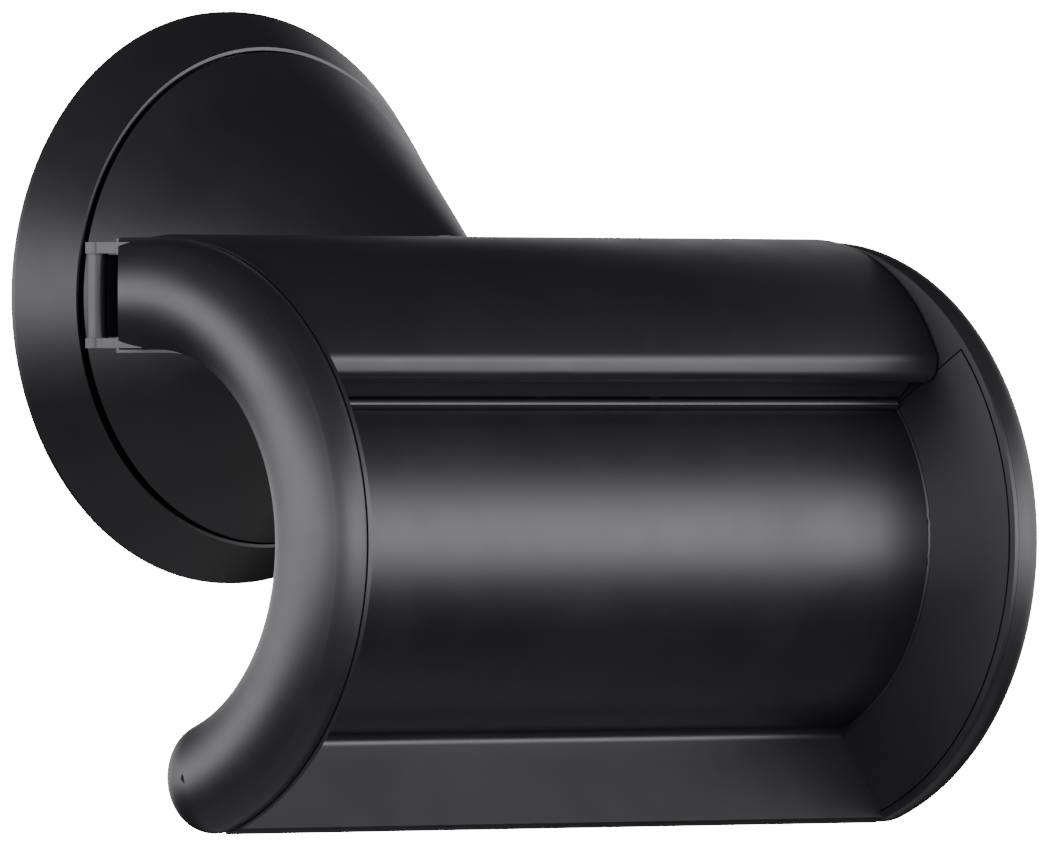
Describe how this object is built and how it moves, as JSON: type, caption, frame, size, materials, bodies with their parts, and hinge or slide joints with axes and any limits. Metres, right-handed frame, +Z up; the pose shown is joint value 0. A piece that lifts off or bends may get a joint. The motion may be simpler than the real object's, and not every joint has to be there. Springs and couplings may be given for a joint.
{
  "type": "hair dryer holder",
  "caption": "Wall-mounted cradle for a hair dryer: round flange, cone-shaped neck and a half-open C-shaped channel with padded folding bows at its ends.",
  "frame": {"origin": "middle of the round wall flange, on the wall plane", "axes": "+Z up along the wall, -Y out from the wall, +X along the channel, to the right as seen from the front"},
  "size_m": [0.1508, 0.1098, 0.1274],
  "materials": {
    "foam": "matt closed-cell foam",
    "plate_steel": "zinc plated",
    "satin_black": "satin, fine grain",
    "satin_black_neck": "satin, fine grain",
    "satin_black_roof": "satin, fine grain",
    "satin_black_insert": "satin, fine grain",
    "satin_black_frame": "satin, fine grain",
    "inner_black": "matt moulded",
    "soft_black": "soft-touch satin",
    "lining": "soft rubber",
    "pin_steel": "ground",
    "screw_steel": "blackened",
    "nylon": "plain"
  },
  "bodies": {
    "cradle": {"wall_gasket": "foam", "wall_plate": "plate_steel", "rosette": "satin_black", "neck": "satin_black_neck", "grub_screw": "screw_steel", "cradle_shell": "inner_black", "channel_lining": "lining", "roof_cover": "satin_black_roof", "recess_insert": "satin_black_insert", "far_end_frame": "satin_black_frame", "near_end_frame": "satin_black_frame", "far_hinge_pin": "pin_steel", "near_hinge_pin": "pin_steel", "far_hinge_washers": "nylon", "near_hinge_washers": "nylon", "far_frame_screws": "screw_steel", "near_frame_screws": "screw_steel", "roof_screws": "screw_steel", "neck_screws": "screw_steel"},
    "near_bow_body": {"near_bow": "soft_black"},
    "far_bow_body": {"far_bow": "soft_black"}
  },
  "joints": [
    {"name": "near_bow_fold", "type": "hinge", "parent": "cradle", "child": "near_bow_body", "pos_m": [-0.0725, -0.0528, 0], "axis": [0, 0, -1], "range_deg": [0, 90]},
    {"name": "far_bow_fold", "type": "hinge", "parent": "cradle", "child": "far_bow_body", "pos_m": [0.0725, -0.0528, 0], "axis": [0, 0, 1], "range_deg": [0, 90]}
  ]
}
